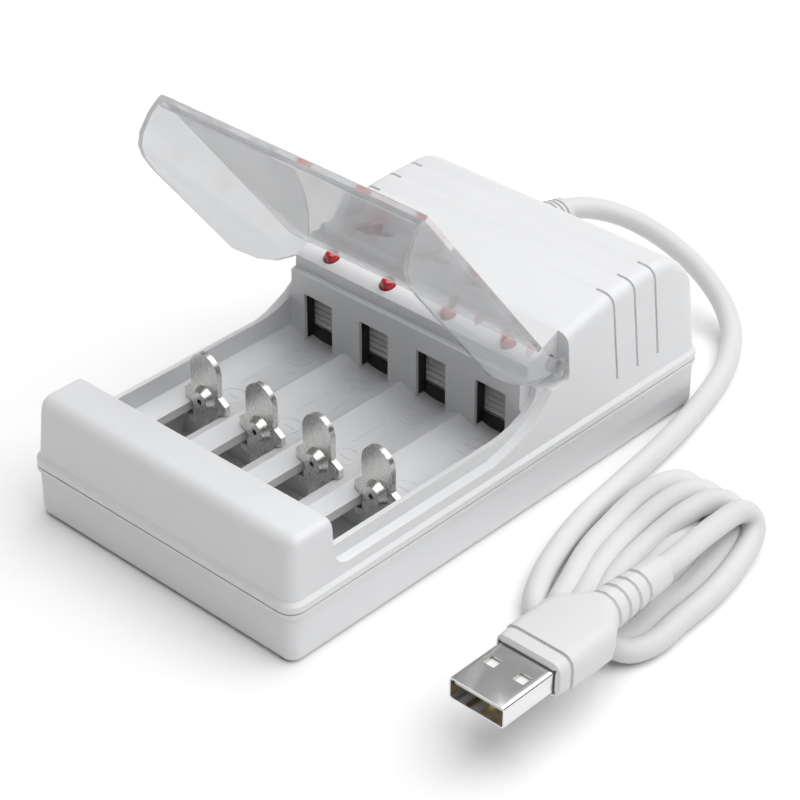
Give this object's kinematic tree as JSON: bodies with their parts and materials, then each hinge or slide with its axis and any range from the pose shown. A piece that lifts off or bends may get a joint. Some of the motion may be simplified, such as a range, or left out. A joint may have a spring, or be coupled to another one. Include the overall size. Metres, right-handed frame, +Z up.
{
  "type": "battery charger",
  "caption": "Charger for AA cells: moulded case with a corrugated cell tray, spring-loaded sliding contacts, a hinged clear lid and a coiled USB lead.",
  "frame": {"origin": "middle of the case's footprint on the surface that it stands on", "axes": "+Z up; -Y is the front, where the bar and the sliding contacts are; +X is to the right seen from the front"},
  "size_m": [0.1153, 0.1442, 0.0753],
  "materials": {
    "white_base": "fine satin moulding",
    "white_case": "fine satin moulding",
    "clear_lid": "polished clear",
    "nickel_contact": "nickel plate",
    "spring_steel": "drawn wire and zinc plate",
    "lamp_red": "tinted clear",
    "board_green": "solder mask",
    "wound_copper": "enamelled winding",
    "can_black": "sleeved can",
    "cord_white": "satin jacket",
    "plug_white": "satin overmoulding",
    "plug_nickel": "nickel plate",
    "tongue_cream": "matte"
  },
  "bodies": {
    "case": {"lower_housing": "white_base", "upper_housing": "white_case", "circuit_board": "board_green", "board_inductor": "wound_copper", "board_capacitor": "can_black", "cord_gland": "plug_white", "cord_lead": "cord_white", "cord_coil": "cord_white", "cord_tail": "cord_white", "plug_body": "plug_white", "plug_shell": "plug_nickel", "plug_tongue": "tongue_cream", "contact_spring_1": "spring_steel", "contact_rail_1": "nickel_contact", "positive_contact_1": "nickel_contact", "status_lamp_1": "lamp_red", "case_screw_1": "spring_steel", "contact_spring_2": "spring_steel", "contact_rail_2": "nickel_contact", "positive_contact_2": "nickel_contact", "status_lamp_2": "lamp_red", "case_screw_2": "spring_steel", "contact_spring_3": "spring_steel", "contact_rail_3": "nickel_contact", "positive_contact_3": "nickel_contact", "status_lamp_3": "lamp_red", "case_screw_3": "spring_steel", "contact_spring_4": "spring_steel", "contact_rail_4": "nickel_contact", "positive_contact_4": "nickel_contact", "status_lamp_4": "lamp_red", "case_screw_4": "spring_steel"},
    "lid": {"lid": "clear_lid"},
    "contact_1": {"sliding_contact_1": "nickel_contact"},
    "contact_2": {"sliding_contact_2": "nickel_contact"},
    "contact_3": {"sliding_contact_3": "nickel_contact"},
    "contact_4": {"sliding_contact_4": "nickel_contact"}
  },
  "joints": [
    {"name": "lid_hinge", "type": "hinge", "parent": "case", "child": "lid", "pos_m": [0, 0.0151, 0.0276], "axis": [-1, 0, 0], "range_deg": [-52.6, 57.4]},
    {"name": "contact_slide_1", "type": "slide", "parent": "case", "child": "contact_1", "axis": [0, -1, 0], "range_m": [0, 0.0195], "stiffness_N_per_m": 100, "springref_m": -0.01, "deforming": ["contact_spring_1"]},
    {"name": "contact_slide_2", "type": "slide", "parent": "case", "child": "contact_2", "axis": [0, -1, 0], "range_m": [0, 0.0195], "stiffness_N_per_m": 100, "springref_m": -0.01, "deforming": ["contact_spring_2"]},
    {"name": "contact_slide_3", "type": "slide", "parent": "case", "child": "contact_3", "axis": [0, -1, 0], "range_m": [0, 0.0195], "stiffness_N_per_m": 100, "springref_m": -0.01, "deforming": ["contact_spring_3"]},
    {"name": "contact_slide_4", "type": "slide", "parent": "case", "child": "contact_4", "axis": [0, -1, 0], "range_m": [0, 0.0195], "stiffness_N_per_m": 100, "springref_m": -0.01, "deforming": ["contact_spring_4"]}
  ]
}
